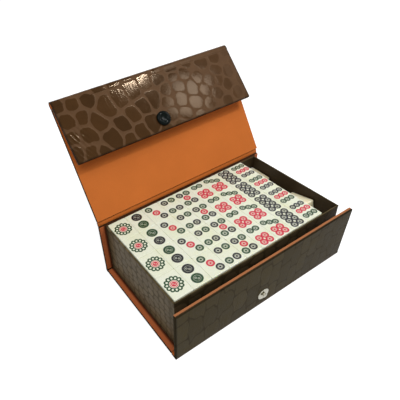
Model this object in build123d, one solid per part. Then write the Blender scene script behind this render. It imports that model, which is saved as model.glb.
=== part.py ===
from build123d import *
import math
import os

# A book-style mahjong case, in millimetres. X runs along the case, Y from front to back, Z up.
# The origin is on the underside of the base board, in the middle of its length and halfway
# between the tray's front and back. The lid stands open and its front flap is folded in.

# ---- the tile set ----
TILE_X = 15.9           # width of a tile
TILE_Y = 22.9           # length of a tile
TILE_Z = 12.2           # thickness of a tile
TILE_EDGE = 1.3         # radius on every edge of a tile
TILE_GAP = 0.1          # play between neighbouring tiles
LAYER_GAP = 0.05        # play between layers
COLUMNS = 9
ROWS = 4
LAYERS = 4

# ---- the tray ----
END_ROOM = 17.25        # free space at the right end of the tile block
TRAY_PLAY = 0.25        # play between the tile block and the tray's lining
TRAY_WRAP = 0.25        # crocodile paper round the outside and over the rim
TRAY_CARD = 0.8         # card of the four walls
TRAY_FLOOR = 1.5        # card of the floor
TRAY_LINING = 0.25      # dark paper on the walls
FLOOR_LINING = 0.4      # dark paper on the floor
TILE_PROUD = 1.1        # the top tiles stand this far above the rim

# ---- the case boards ----
CASE_LENGTH = 175.0     # length of every board, along X
COVER = 0.6             # leatherette skin with its glue and turned-in edge
CORE = 2.0              # greyboard
LINING = 0.4            # orange lining
LINING_INSET = 0.3      # the lining stays this far from the boards' edges
BASE_LIP = 1.5          # the base board reaches this far in front of the tray
CORNER_LEG = 2.0        # from the back corner's centre to the boards on both sides of it
CORNER_STRIP = 1.0      # thickness of the bent strip round that corner
BACK_GAP = 2.2          # from the lid's hinge line to the boards on both sides of it
BACK_TONGUE = 0.9       # the skins stop this far from the lid's hinge line
BACK_ROLL = 0.8         # radius of the folded strip along the lid's hinge line
BACK_WEB = 0.5          # half the thickness of the web that carries it
LID_CLEAR = 0.3         # room between the closed lid and the top tiles

# ---- the front board ----
FRONT_REACH = 6.8       # from the tray's front to the board's hinge line
FRONT_HINGE_Z = 1.0
FRONT_DROP = 0.7        # its top edge stays this far below the level of the tray's rim
FRONT_GAP = 1.0         # from the hinge line to the board's bottom edge
FRONT_LEAN = 1.8        # degrees that it leans out when the case is open
FRONT_STRIP = 0.9       # thickness of the flat strip on the table
FRONT_ROLL = 0.5        # radius of the folded strip along the hinge line
ROLL_ROOM = 0.35        # between the folded strip and the flat one
TRAY_ROOM = 0.15        # between the closed front board and the tray

# ---- the lid and its flap ----
LID_OPEN = 57.9         # degrees above level at which the open lid points back
FLAP_OPEN = 11.1        # degrees between the open lid and the folded flap
FLAP_GAP = 2.5          # from the flap's hinge line to the boards on both sides of it
FLAP_LENGTH = 50.8      # from the hinge line to the flap's free edge
FACE_GAP = 1.2          # between the flap's lining and the front board's skin, snapped shut
SPINE_ARC = 36.0        # degrees of skin that each board carries round the fold
SPINE_STRIP = 0.5       # thickness of the lining strip inside the fold
SPINE_ROOM = 0.3        # between that strip and the skin
SPINE_END = 10.0        # degrees by which that strip stays short of both boards

# ---- the snap fastener ----
SNAP_X = -4.2           # a little left of the middle
SNAP_EDGE = 9.8         # from the flap's free edge to the snap's centre
CAP_R = 6.3
CAP_HEIGHT = 2.3
CAP_DISH_R = 3.3        # radius of the sunken middle
CAP_DISH = 0.6          # and its depth
POST_R = 1.5            # the cap's post and the stud's post
POST_ROOM = 0.3
SOCKET_R = 5.1
SOCKET_ROOM = 0.3
SOCKET_PROUD = 0.4      # the socket stands this far out of the lining
SOCKET_DEEP = 1.9       # and reaches this far into the flap
SOCKET_SHEET = 0.4
SOCKET_MOUTH = 2.75     # radius of its mouth
SOCKET_GROOVE = 3.5     # radius of the groove that holds the spring
SPRING_WIRE = 0.5
SPRING_GRIP = 1.85      # from the snap's centre to each arm of the spring
SPRING_REACH = 2.1      # half the length of an arm
STUD_R = 5.4
STUD_FLANGE = 0.5
STUD_HEIGHT = 2.5       # from the board to the tip of the knob
KNOB_R = 2.1
KNOB_HEAD = 0.5
KNOB_NECK = 1.5
EYELET_R = 4.4
EYELET_T = 0.5
RIVET_HEAD_R = 2.2
RIVET_HEAD_T = 0.2

# ---- the spare tiles in the free end ----
SPARE_GAP = 0.6         # between the spare tiles and the tray's right wall
TILTED_FOOT = 7.4       # the tilted tile's lower back edge, in front of the tray's middle

# ---- sizes that follow ----
BOARD = COVER + CORE + LINING
PITCH_X = TILE_X + TILE_GAP
PITCH_Y = TILE_Y + TILE_GAP
PITCH_Z = TILE_Z + LAYER_GAP
TRAY_WALL = TRAY_WRAP + TRAY_CARD + TRAY_LINING
BLOCK_X = COLUMNS * PITCH_X - TILE_GAP
BLOCK_Y = ROWS * PITCH_Y - TILE_GAP
TRAY_X = (BLOCK_X + TRAY_PLAY + END_ROOM) / 2 + TRAY_WALL
TRAY_Y = BLOCK_Y / 2 + TRAY_PLAY + TRAY_WALL
BLOCK_LEFT = -TRAY_X + TRAY_WALL + TRAY_PLAY
HALF = CASE_LENGTH / 2
BASE_FRONT = -TRAY_Y - BASE_LIP
TILE_FLOOR = BOARD + TRAY_FLOOR + FLOOR_LINING + LAYER_GAP
TILE_TOP = TILE_FLOOR + LAYERS * PITCH_Z - LAYER_GAP
RIM = TILE_TOP - TILE_PROUD
BACK_INNER = TRAY_Y
BACK_OUTER = BACK_INNER + BOARD
LID_UNDER = TILE_TOP + LID_CLEAR
BACK_HINGE = (BACK_INNER + BOARD / 2, LID_UNDER + BOARD / 2)
FRONT_HINGE_Y = -TRAY_Y - FRONT_REACH
FRONT_HINGE = (FRONT_HINGE_Y, FRONT_HINGE_Z)
FRONT_HEIGHT = RIM - FRONT_DROP - FRONT_HINGE_Z
SNAP_DOWN = FLAP_LENGTH - SNAP_EDGE

# the closed front board leans in until its top edge stands just in front of the tray
LEAN_REACH = FRONT_REACH - TRAY_ROOM
FRONT_INNER = BOARD - COVER
FRONT_CLOSED = math.degrees(math.asin(LEAN_REACH / math.hypot(FRONT_HEIGHT, FRONT_INNER))
                            - math.atan2(FRONT_INNER, FRONT_HEIGHT))
TILT = math.radians(FRONT_CLOSED)

# the closed flap lies parallel to it, which places the flap's hinge line on the closed lid
FLAP_HINGE_SHUT = (FRONT_HINGE_Y - (COVER + FACE_GAP) / math.cos(TILT)
                   + (LID_UNDER - FRONT_HINGE_Z) * math.tan(TILT), LID_UNDER)
LID_REACH = BACK_HINGE[0] - FLAP_HINGE_SHUT[0]
SNAP_UP = ((FLAP_HINGE_SHUT[0] - FRONT_HINGE_Y) * math.sin(TILT)
           + (LID_UNDER - FRONT_HINGE_Z) * math.cos(TILT) - SNAP_DOWN)


# ---- helpers ----
def block(x0, x1, y0, y1, z0, z1):
    """A box between two corners."""
    middle = ((x0 + x1) / 2, (y0 + y1) / 2, (z0 + z1) / 2)
    return Pos(*middle) * Box(x1 - x0, y1 - y0, z1 - z0)


def disc(x, y, radius, z0, z1):
    """A round plate or post standing along Z."""
    return Pos(x, y, (z0 + z1) / 2) * Cylinder(radius, z1 - z0)


def turned(x, y, points):
    """A solid of revolution about a line along Z, from (radius, z) points."""
    return Pos(x, y, 0) * revolve(make_face(Plane.XZ * Polyline(*points, close=True)), Axis.Z)


def across(y, z):
    """The plane of a cross-section, facing along X from the case's left end."""
    return Plane(origin=(-HALF, y, z), x_dir=(0, 1, 0), z_dir=(1, 0, 0))


def arc_strip(y, z, r_in, r_out, start, sweep):
    """A strip as long as the case, bent round a line along X, from start degrees above +Y."""
    inner = CenterArc((0, 0), r_in, start, sweep)
    outer = CenterArc((0, 0), r_out, start, sweep)
    face = make_face([inner, Line(inner @ 1, outer @ 1), outer, Line(outer @ 0, inner @ 0)])
    return extrude(across(y, z) * face, CASE_LENGTH)


def turn(point, centre, degrees):
    """A (y, z) point turned about another one."""
    angle = math.radians(degrees)
    dy, dz = point[0] - centre[0], point[1] - centre[1]
    return (centre[0] + dy * math.cos(angle) - dz * math.sin(angle),
            centre[1] + dy * math.sin(angle) + dz * math.cos(angle))


def panel_place(hinge, angle, depth):
    """Where a panel stands: its Y runs along it, angle degrees above +Y, and its Z runs from its
    outer face inwards. The hinge line lies at its Y = 0, depth below the outer face."""
    y_in, z_in = -math.sin(math.radians(angle)), math.cos(math.radians(angle))
    origin = (0, hinge[0] - depth * y_in, hinge[1] - depth * z_in)
    return Plane(origin=origin, x_dir=(1, 0, 0), z_dir=(0, y_in, z_in)).location


def panel_core(start, end):
    """Greyboard, from start to end along the panel, less the skin's edges."""
    return block(-HALF + COVER, HALF - COVER, start + COVER, end - COVER, COVER, COVER + CORE)


def panel_cover(start, end):
    """Skin on the outer face, turned in round the greyboard's edges."""
    return block(-HALF, HALF, start, end, 0, COVER + CORE) - panel_core(start, end)


def panel_lining(start, end):
    """Lining sheet on the inner face."""
    side = HALF - LINING_INSET
    return block(-side, side, start + LINING_INSET, end - LINING_INSET, COVER + CORE, BOARD)


def skin_sheet(start, end):
    """A flat run of skin beyond a board."""
    return block(-HALF, HALF, start, end, 0, COVER)


def tile_at(column, row, layer):
    """A tile in the block, from left to right, back to front and top to bottom."""
    x = BLOCK_LEFT + TILE_X / 2 + column * PITCH_X
    y = BLOCK_Y / 2 - TILE_Y / 2 - row * PITCH_Y
    z = TILE_TOP - TILE_Z / 2 - layer * PITCH_Z
    return Pos(x, y, z) * TILE


def tile_layer(layer):
    """A whole layer of the block."""
    return Compound([tile_at(c, r, layer) for c in range(COLUMNS) for r in range(ROWS)])


parts = {}

# ---- base, back and the strip round the corner between them ----
BASE_BACK = BACK_HINGE[0] - CORNER_LEG
parts["base_board"] = panel_core(BASE_FRONT, BASE_BACK)
parts["base_cover"] = panel_cover(BASE_FRONT, BASE_BACK)
parts["base_lining"] = panel_lining(BASE_FRONT, BASE_BACK)

BACK_BOTTOM = BOARD / 2 + CORNER_LEG
BACK_TOP = BACK_HINGE[1] - BACK_GAP
back = panel_place((BACK_HINGE[0], 0), 90, BOARD / 2)
parts["back_board"] = back * panel_core(BACK_BOTTOM, BACK_TOP)
parts["back_cover"] = back * panel_cover(BACK_BOTTOM, BACK_TOP)
parts["back_lining"] = back * panel_lining(BACK_BOTTOM, BACK_TOP)

CORNER_R = BOARD / 2
corner = arc_strip(BACK_HINGE[0], CORNER_R, CORNER_R - CORNER_STRIP, CORNER_R, -90, 90)
corner += block(-HALF, HALF, BASE_BACK, BACK_HINGE[0], 0, CORNER_STRIP)
corner += block(-HALF, HALF, BACK_OUTER - CORNER_STRIP, BACK_OUTER, CORNER_R, BACK_BOTTOM)
parts["corner_strip"] = corner

# ---- the strip along the lid's hinge line, carried by the back board's skin ----
hinge_y, hinge_z = BACK_HINGE
web_top = hinge_z - BACK_TONGUE
web = Polyline(
    (BACK_OUTER - COVER, BACK_TOP),
    (BACK_OUTER, BACK_TOP),
    (BACK_OUTER, web_top),
    (hinge_y + BACK_WEB, hinge_z),
    (hinge_y, hinge_z - BACK_WEB),
    (BACK_OUTER - COVER, web_top - BACK_WEB),
    close=True)
roll = across(*BACK_HINGE) * Circle(BACK_ROLL)
parts["lid_hinge_strip"] = (extrude(across(0, 0) * make_face(web), CASE_LENGTH)
                            + extrude(roll, CASE_LENGTH))

# ---- the tray, glued on the base ----
CARD_X = TRAY_X - TRAY_WRAP
CARD_Y = TRAY_Y - TRAY_WRAP
ROOM_X = CARD_X - TRAY_CARD
ROOM_Y = CARD_Y - TRAY_CARD
CARD_TOP = RIM - TRAY_WRAP
parts["tray_floor"] = block(-ROOM_X, ROOM_X, -ROOM_Y, ROOM_Y, BOARD, BOARD + TRAY_FLOOR)
parts["tray_front_wall"] = block(-CARD_X, CARD_X, -CARD_Y, -ROOM_Y, BOARD, CARD_TOP)
parts["tray_back_wall"] = block(-CARD_X, CARD_X, ROOM_Y, CARD_Y, BOARD, CARD_TOP)
parts["tray_left_wall"] = block(-CARD_X, -ROOM_X, -ROOM_Y, ROOM_Y, BOARD, CARD_TOP)
parts["tray_right_wall"] = block(ROOM_X, CARD_X, -ROOM_Y, ROOM_Y, BOARD, CARD_TOP)

BAY_X = ROOM_X - TRAY_LINING
BAY_Y = ROOM_Y - TRAY_LINING
BAY_FLOOR = BOARD + TRAY_FLOOR + FLOOR_LINING
wrap = block(-TRAY_X, TRAY_X, -TRAY_Y, TRAY_Y, BOARD, RIM)
wrap -= block(-CARD_X, CARD_X, -CARD_Y, CARD_Y, BOARD, CARD_TOP)
wrap -= block(-BAY_X, BAY_X, -BAY_Y, BAY_Y, CARD_TOP, RIM)
parts["tray_wrap"] = wrap
paper = block(-ROOM_X, ROOM_X, -ROOM_Y, ROOM_Y, BOARD + TRAY_FLOOR, CARD_TOP)
parts["tray_lining"] = paper - block(-BAY_X, BAY_X, -BAY_Y, BAY_Y, BAY_FLOOR, CARD_TOP)

# ---- the flat strip in front of the base, and the front board hinged on it ----
STRIP_FRONT = FRONT_HINGE_Y + FRONT_ROLL + ROLL_ROOM
parts["front_strip"] = block(-HALF, HALF, STRIP_FRONT, BASE_FRONT, 0, FRONT_STRIP)
parts["front_hinge_strip"] = extrude(across(*FRONT_HINGE) * Circle(FRONT_ROLL), CASE_LENGTH)

front = panel_place(FRONT_HINGE, FRONT_LEAN - 90, COVER)
top, bottom = -FRONT_HEIGHT, -FRONT_GAP
side = HALF - COVER
lip = block(-side, side, top, top + LINING, COVER, COVER + CORE)
core = block(-side, side, top + LINING, bottom - COVER, COVER, COVER + CORE)
cover = block(-HALF, HALF, top, bottom, 0, COVER + CORE) - core - lip
lining = lip + block(-side, side, top, bottom - LINING_INSET, COVER + CORE, BOARD)
post_hole = disc(SNAP_X, -SNAP_UP, POST_R + POST_ROOM, 0, BOARD)
parts["front_board"] = front * (core - post_hole)
parts["front_cover"] = front * (cover - post_hole)
parts["front_lining"] = front * (lining - post_hole)

rivet_end = BOARD + EYELET_T
stud = turned(SNAP_X, -SNAP_UP, [
    (0, -STUD_HEIGHT),
    (KNOB_NECK, -STUD_HEIGHT),
    (KNOB_R, -STUD_HEIGHT + KNOB_HEAD / 2),
    (KNOB_R, -STUD_HEIGHT + KNOB_HEAD),
    (KNOB_NECK, -STUD_HEIGHT + 1.5 * KNOB_HEAD),
    (KNOB_NECK, -2 * STUD_FLANGE),
    (2 * KNOB_NECK, -STUD_FLANGE),
    (STUD_R - STUD_FLANGE, -STUD_FLANGE),
    (STUD_R, -STUD_FLANGE / 2),
    (STUD_R, 0),
    (POST_R, 0),
    (POST_R, rivet_end),
    (RIVET_HEAD_R, rivet_end),
    (RIVET_HEAD_R, rivet_end + RIVET_HEAD_T),
    (0, rivet_end + RIVET_HEAD_T)])
parts["snap_stud"] = front * stud
parts["stud_eyelet"] = front * (disc(SNAP_X, -SNAP_UP, EYELET_R, BOARD, rivet_end)
                                - disc(SNAP_X, -SNAP_UP, POST_R, BOARD, rivet_end))

# ---- the lid ----
lid = panel_place(BACK_HINGE, LID_OPEN, BOARD / 2)
LID_END = LID_REACH - FLAP_GAP
lid_cover = panel_cover(BACK_GAP, LID_END)
lid_cover += skin_sheet(BACK_TONGUE, BACK_GAP)
lid_cover += skin_sheet(LID_END, LID_REACH)
lid_cover += arc_strip(LID_REACH, BOARD, BOARD - COVER, BOARD, -90, SPINE_ARC)
parts["lid_board"] = lid * panel_core(BACK_GAP, LID_END)
parts["lid_cover"] = lid * lid_cover
parts["lid_lining"] = lid * panel_lining(BACK_GAP, LID_END)

# ---- the lining strip inside the fold between lid and flap ----
strip_r = BOARD - COVER - SPINE_ROOM
strip_sweep = 180 - FLAP_OPEN - 2 * SPINE_END
parts["flap_hinge_strip"] = lid * arc_strip(LID_REACH, BOARD, strip_r - SPINE_STRIP, strip_r,
                                            SPINE_END - 90, strip_sweep)

# ---- the flap ----
FLAP_HINGE = turn(FLAP_HINGE_SHUT, BACK_HINGE, LID_OPEN - 180)
flap = panel_place(FLAP_HINGE, LID_OPEN - 180 - FLAP_OPEN, BOARD)
flap_cover = panel_cover(FLAP_GAP, FLAP_LENGTH)
flap_cover += skin_sheet(0, FLAP_GAP)
flap_cover += arc_strip(0, BOARD, BOARD - COVER, BOARD, -90 - SPINE_ARC, SPINE_ARC)
post_hole = disc(SNAP_X, SNAP_DOWN, POST_R + POST_ROOM, 0, BOARD)
pocket = disc(SNAP_X, SNAP_DOWN, SOCKET_R + SOCKET_ROOM, BOARD - SOCKET_DEEP, BOARD)
parts["flap_board"] = flap * (panel_core(FLAP_GAP, FLAP_LENGTH) - post_hole - pocket)
parts["flap_cover"] = flap * (flap_cover - post_hole)
parts["flap_lining"] = flap * (panel_lining(FLAP_GAP, FLAP_LENGTH) - pocket)

cap = turned(SNAP_X, SNAP_DOWN, [
    (0, CAP_DISH - CAP_HEIGHT),
    (CAP_DISH_R, CAP_DISH - CAP_HEIGHT),
    (CAP_DISH_R + CAP_DISH, -CAP_HEIGHT),
    (CAP_R - 2 * CAP_DISH, -CAP_HEIGHT),
    (CAP_R - CAP_DISH / 2, -CAP_HEIGHT + CAP_DISH),
    (CAP_R, -CAP_HEIGHT / 2),
    (CAP_R, -CAP_DISH / 2),
    (CAP_R - CAP_DISH / 2, 0),
    (POST_R, 0),
    (POST_R, BOARD - SOCKET_DEEP),
    (0, BOARD - SOCKET_DEEP)])
parts["snap_cap"] = flap * cap

socket_back = BOARD - SOCKET_DEEP
socket_face = BOARD + SOCKET_PROUD
groove_top = socket_face - SOCKET_SHEET
groove_bottom = groove_top - SPRING_WIRE - 2 * LAYER_GAP
socket = turned(SNAP_X, SNAP_DOWN, [
    (0, socket_back),
    (SOCKET_R, socket_back),
    (SOCKET_R, BOARD),
    (SOCKET_R - SOCKET_PROUD, socket_face),
    (SOCKET_MOUTH, socket_face),
    (SOCKET_MOUTH, groove_top),
    (SOCKET_GROOVE, groove_top),
    (SOCKET_GROOVE, groove_bottom),
    (SOCKET_MOUTH, groove_bottom),
    (SOCKET_MOUTH, socket_back + SOCKET_SHEET),
    (0, socket_back + SOCKET_SHEET)])
parts["snap_socket"] = flap * socket

arm_out = SPRING_GRIP + SPRING_WIRE
spring_low, spring_high = groove_bottom, groove_bottom + SPRING_WIRE
bend_r = math.hypot(SPRING_GRIP + SPRING_WIRE / 2, SPRING_REACH)
bend = (disc(0, 0, bend_r + SPRING_WIRE / 2, spring_low, spring_high)
        - disc(0, 0, bend_r - SPRING_WIRE / 2, spring_low, spring_high))
bend &= block(-arm_out, arm_out, -SOCKET_R, -SPRING_REACH + SPRING_WIRE, spring_low, spring_high)
spring = bend
spring += block(-arm_out, -SPRING_GRIP, -SPRING_REACH, SPRING_REACH, spring_low, spring_high)
spring += block(SPRING_GRIP, arm_out, -SPRING_REACH, SPRING_REACH, spring_low, spring_high)
parts["socket_spring"] = flap * Pos(SNAP_X, SNAP_DOWN, 0) * spring

# ---- the tile set: circles 1 to 9 from left to right on top, three more layers below ----
TILE = fillet(Box(TILE_X, TILE_Y, TILE_Z).edges(), TILE_EDGE)
for column in range(COLUMNS):
    parts[f"circles_{column + 1}"] = Compound([tile_at(column, row, 0) for row in range(ROWS)])
parts["second_layer_tiles"] = tile_layer(1)
parts["third_layer_tiles"] = tile_layer(2)
parts["bottom_layer_tiles"] = tile_layer(3)

# ---- the spare tiles: three flat at the back, two flat in front of the gap, and a flat one with
# one on its long edge at the front, which lifts the end of the tilted tile ----
spare_x = BAY_X - SPARE_GAP - TILE_X / 2
row_y = [BLOCK_Y / 2 - TILE_Y / 2 - row * PITCH_Y for row in range(ROWS)]
flat_z = [TILE_FLOOR + TILE_Z / 2 + layer * PITCH_Z for layer in range(LAYERS)]
spares = [Pos(spare_x, row_y[0], flat_z[layer]) * TILE for layer in range(3)]
spares += [Pos(spare_x, row_y[2], flat_z[layer]) * TILE for layer in range(2)]
spares.append(Pos(spare_x, row_y[3], flat_z[0]) * TILE)
edge_z = TILE_FLOOR + PITCH_Z + TILE_X / 2
spares.append(Pos(spare_x, row_y[3], edge_z) * Rot(0, 90, 0) * TILE)

foot_y, foot_z = -TILTED_FOOT, flat_z[1] + TILE_Z / 2 + LAYER_GAP + TILE_EDGE
prop_y, prop_z = row_y[3] + TILE_Y / 2 - TILE_EDGE, edge_z + TILE_X / 2 - TILE_EDGE
reach = math.hypot(foot_y - prop_y, prop_z - foot_z)
tilt = (math.atan2(prop_z - foot_z, foot_y - prop_y)
        + math.asin((2 * TILE_EDGE + LAYER_GAP) / reach))
half_y, half_z = TILE_Y / 2 - TILE_EDGE, TILE_Z / 2 - TILE_EDGE
tilted_y = foot_y - half_y * math.cos(tilt) + half_z * math.sin(tilt)
tilted_z = foot_z + half_y * math.sin(tilt) + half_z * math.cos(tilt)
spares.append(Pos(spare_x, tilted_y, tilted_z) * Rot(-math.degrees(tilt), 0, 0) * TILE)
parts["spare_tiles"] = Compound(spares)

os.makedirs("parts", exist_ok=True)
for name, shape in parts.items():
    export_step(shape, f"parts/{name}.step")
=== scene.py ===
import math

import bpy
import numpy as np
from mathutils import Matrix


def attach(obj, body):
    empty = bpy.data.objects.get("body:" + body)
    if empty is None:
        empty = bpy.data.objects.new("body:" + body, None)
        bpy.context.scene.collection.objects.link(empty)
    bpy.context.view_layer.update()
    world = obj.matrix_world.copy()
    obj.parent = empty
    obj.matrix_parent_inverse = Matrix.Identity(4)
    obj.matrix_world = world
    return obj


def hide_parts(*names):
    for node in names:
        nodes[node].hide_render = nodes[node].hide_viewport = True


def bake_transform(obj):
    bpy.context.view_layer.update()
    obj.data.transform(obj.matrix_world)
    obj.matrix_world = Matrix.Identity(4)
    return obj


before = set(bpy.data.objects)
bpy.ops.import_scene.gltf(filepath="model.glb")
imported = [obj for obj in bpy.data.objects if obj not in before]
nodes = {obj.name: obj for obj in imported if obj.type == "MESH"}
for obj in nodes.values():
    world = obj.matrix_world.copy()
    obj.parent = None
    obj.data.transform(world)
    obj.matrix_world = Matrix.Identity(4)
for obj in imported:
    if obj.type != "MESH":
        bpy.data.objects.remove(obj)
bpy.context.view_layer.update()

# The view. The case stands on a table with its lid folded back, and is looked down on
# from in front of its left end.
FILM_WIDTH = 36.0
FOCAL_SHARE = 408.2 / 400.0
VIEW_FROM = (-0.1733, -0.1856, 0.2760)
VIEW_RIGHT = (0.84177, -0.53329, -0.08381)
VIEW_UP = (0.38826, 0.49022, 0.78035)
VIEW_BACK = (-0.37506, -0.68941, 0.61971)

camera_data = bpy.data.cameras.new("view")
camera_data.sensor_width = FILM_WIDTH
camera_data.lens = FILM_WIDTH * FOCAL_SHARE
camera_data.shift_x = 0.1485
camera_data.shift_y = -0.0095
camera_data.clip_start = 0.01
camera = bpy.data.objects.new("view", camera_data)
bpy.context.scene.collection.objects.link(camera)
bpy.context.scene.camera = camera
view_axes = Matrix((VIEW_RIGHT, VIEW_UP, VIEW_BACK)).transposed().to_4x4()
camera.matrix_world = Matrix.Translation(VIEW_FROM) @ view_axes
bpy.context.scene.view_settings.view_transform = "Standard"

# The table and the room: a white top that keeps the case's shadow, and a white room
# round it. The room lights less than it shows, so that colours stay as they are.
ROOM_LIGHT = 0.5
TABLE_SIZE = 6.0
TABLE_DROP = 0.0003
TABLE_GREY = (0.45, 0.45, 0.45, 1)
TABLE_GLOW = 0.78
WHITE = (1, 1, 1, 1)


def node(tree, kind, values=None, **settings):
    """One shader node: settings are its own choices, and values are its inputs,
    each a number, a colour or another node's socket."""
    made = tree.nodes.new("ShaderNode" + kind)
    for key, value in settings.items():
        setattr(made, key, value)
    for key, value in (values or {}).items():
        if isinstance(value, bpy.types.NodeSocket):
            tree.links.new(value, made.inputs[key])
        else:
            made.inputs[key].default_value = value
    return made


def seen_by(tree, *kinds):
    """1 for rays of those kinds, such as the eye's own or a reflection's, else 0."""
    path = node(tree, "LightPath").outputs
    seen = path[f"Is {kinds[0]} Ray"]
    for kind in kinds[1:]:
        seen = node(tree, "Math", {0: seen, 1: path[f"Is {kind} Ray"]}, operation="MAXIMUM").outputs[0]
    return seen


room = bpy.data.worlds.new("white_room")
bpy.context.scene.world = room
room.use_nodes = True
tree = room.node_tree
tree.nodes.clear()
seen = seen_by(tree, "Camera", "Glossy", "Transmission")
level = node(tree, "MapRange", {"Value": seen, "To Min": ROOM_LIGHT, "To Max": 1.0})
walls = node(tree, "Background", {"Color": WHITE, "Strength": level.outputs[0]})
node(tree, "OutputWorld", {"Surface": walls.outputs[0]})

half = TABLE_SIZE / 2
table_mesh = bpy.data.meshes.new("table_top")
corners = [(-half, -half), (half, -half), (half, half), (-half, half)]
table_mesh.from_pydata([(x, y, -TABLE_DROP) for x, y in corners], [], [(0, 1, 2, 3)])
table_top = bpy.data.objects.new("table_top", table_mesh)
bpy.context.scene.collection.objects.link(table_top)
laminate = bpy.data.materials.new("white_laminate")
laminate.use_nodes = True
tree = laminate.node_tree
tree.nodes.clear()
glow = node(tree, "Math", {0: seen_by(tree, "Camera", "Glossy"), 1: TABLE_GLOW}, operation="MULTIPLY")
matt = node(tree, "BsdfDiffuse", {"Color": TABLE_GREY})
lift = node(tree, "Emission", {"Color": WHITE, "Strength": glow.outputs[0]})
both = node(tree, "AddShader", {0: matt.outputs[0], 1: lift.outputs[0]})
node(tree, "OutputMaterial", {"Surface": both.outputs[0]})
table_mesh.materials.append(laminate)


def soft_lamp(name, target, direction, distance, size, power):
    """A square lamp that stands at that distance from its target, along direction,
    and faces it. Lengths are in metres and the power in watts."""
    lamp = bpy.data.lights.new(name, "AREA")
    lamp.size = size
    lamp.energy = power
    stand = bpy.data.objects.new(name, lamp)
    bpy.context.scene.collection.objects.link(stand)
    back = np.array(direction, float) / np.linalg.norm(direction)
    side = np.cross((0, 1, 0), back)
    side /= np.linalg.norm(side)
    axes = Matrix((side, np.cross(back, side), back)).transposed().to_4x4()
    stand.matrix_world = Matrix.Translation(np.array(target) + back * distance) @ axes


soft_lamp("window", (-0.0095, 0.1165, 0.1625), (0.463, -0.432, 0.774), 1.0, 0.045, 3.5)
soft_lamp("sky_panel", (0.022, 0.078, 0.122), (0.555, -0.465, 0.69), 1.0, 0.12, 1.0)
soft_lamp("ceiling", (0.0, 0.0, 0.07), (-0.3, -0.36, 0.88), 1.6, 1.0, 9.0)

# Leatherette: paper-backed brown skin with crocodile scales pressed into it. The large
# belly scales run down the left of the sheet, small round ones down its right side.

# Lengths are in mm from here on, and in metres where a material reads a place: x goes
# across the case, and s along the sheet from the front panel's top edge, under the
# case, up the back and over the lid to the flap.
COVER = 0.6
BOARD = 3.0
HALF_X = 87.5
SHEET_END = 400.0
FLAP_START = 321.3
FRONT_END = 54.0
SKIN_STEP = 0.65
SHEET_CORNER = 0.8
GROOVE_DEPTH = 0.1
CROWN = 0.012
CREASE_DEPTHS = (0.027, 0.007)
WRINKLE_DEPTH = 0.17
BATCH = 20000

# The flap's scales: x, s from the fold, and how much larger each is than its share.
FLAP_SCALES = [
    (-84.0, 3.0, 0.0), (-71.6, 4.1, 0.5), (-58.4, 5.2, 1.0), (-47.5, -3.5, 0.0), (-46.9, 15.6, 2.5),
    (-32.9, 12.6, 1.5), (-19.7, 9.2, 1.5), (-5.6, 5.4, 1.0), (7.6, 8.6, 0.0), (-80.4, 17.2, 0.5),
    (-69.3, 17.6, 0.5), (-58.3, 25.4, 1.5), (-27.4, 29.4, 1.0), (-16.5, 25.4, 0.8), (-4.3, 22.5, 1.0),
    (-83.4, 30.0, 0.0), (-69.0, 32.2, 0.8), (-52.4, 41.0, 1.8), (-39.6, 33.6, 1.0), (-27.1, 42.6, 0.3),
    (-15.0, 40.5, 0.5), (-39.5, 47.8, 0.0), (-84.6, 42.4, 0.0), (-73.6, 46.0, 0.5), (-64.0, 50.2, 0.0),
    (9.6, 18.0, 0.0), (22.6, 18.8, 0.4), (6.0, 29.0, 0.0), (19.9, 31.2, 0.4), (35.0, 24.9, 0.8),
    (32.4, 37.9, 1.0), (18.1, 43.0, 0.2), (6.4, 40.0, 0.0), (46.5, 31.0, 0.2), (33.6, 10.6, 0.0),
    (44.2, 17.6, 0.4), (54.7, 23.8, 0.4), (45.3, 42.4, 0.6), (57.0, 36.8, 0.8), (31.0, 50.6, 0.0),
    (77.1, 21.4, 0.6), (71.0, 32.4, 0.4), (77.1, 42.8, 0.6), (22.8, 1.4, 1.0), (39.5, 0.6, 0.6),
    (54.3, 6.4, 1.0), (69.6, 4.7, 1.0), (21.4, 10.0, 0.0), (66.1, 17.0, 0.6), (63.2, 47.1, 0.4),
    (48.0, 53.3, 0.0), (64.4, 27.2, 0.0), (87.7, 14.8, 0.4), (83.1, 1.8, 0.4), (-4.0, 52.0, 0.0),
    (9.0, 52.0, 0.0), (-95.0, 8.0, 0.0), (-95.0, 24.0, 0.0), (-95.0, 40.0, 0.0), (87.0, 32.0, 0.4),
    (87.0, 51.0, 0.4), (75.0, 54.0, 0.0), (-33.0, -5.0, 0.0), (-19.0, -7.0, 0.0), (8.0, -4.0, 0.0),
    (-70.0, -9.0, 0.0),
]
draw = np.random.default_rng(7)


def scale_middles():
    """The middles of all scales on the sheet, as x, s and extra size: columns as wide
    as the scales, from beyond one edge to beyond the other, each middle shifted by
    chance across and along. The front panel has tall scales, and the flap its own."""
    found = []
    x = -HALF_X - 9.5
    while x < HALF_X + 12.5:
        wide = np.interp(x, [-40, 0, 60], [13.5, 10.5, 9.0])
        step = np.interp(x, [-40, 0, 60], [16.0, 11.5, 9.5])
        tall = np.arange(-3.0 - draw.uniform(0, 20), FRONT_END, 21.0)
        s = np.arange(FRONT_END + 4.0 + draw.uniform(0, step), SHEET_END, step)
        s = np.concatenate([tall, s])
        s = s + draw.uniform(-0.2, 0.2, len(s)) * step
        across = x + draw.uniform(-0.16, 0.16, len(s)) * wide
        larger = draw.uniform(-0.3, 1.0, len(s))
        found.append(np.stack([across, s, larger], 1)[s < FLAP_START - 8.0])
        x += wide
    flap = np.array(FLAP_SCALES) + (0.0, FLAP_START, 0.0)
    return np.concatenate([*found, flap])


MIDDLES = scale_middles()
TONES = draw.uniform(0.0, 1.0, len(MIDDLES))


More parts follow.
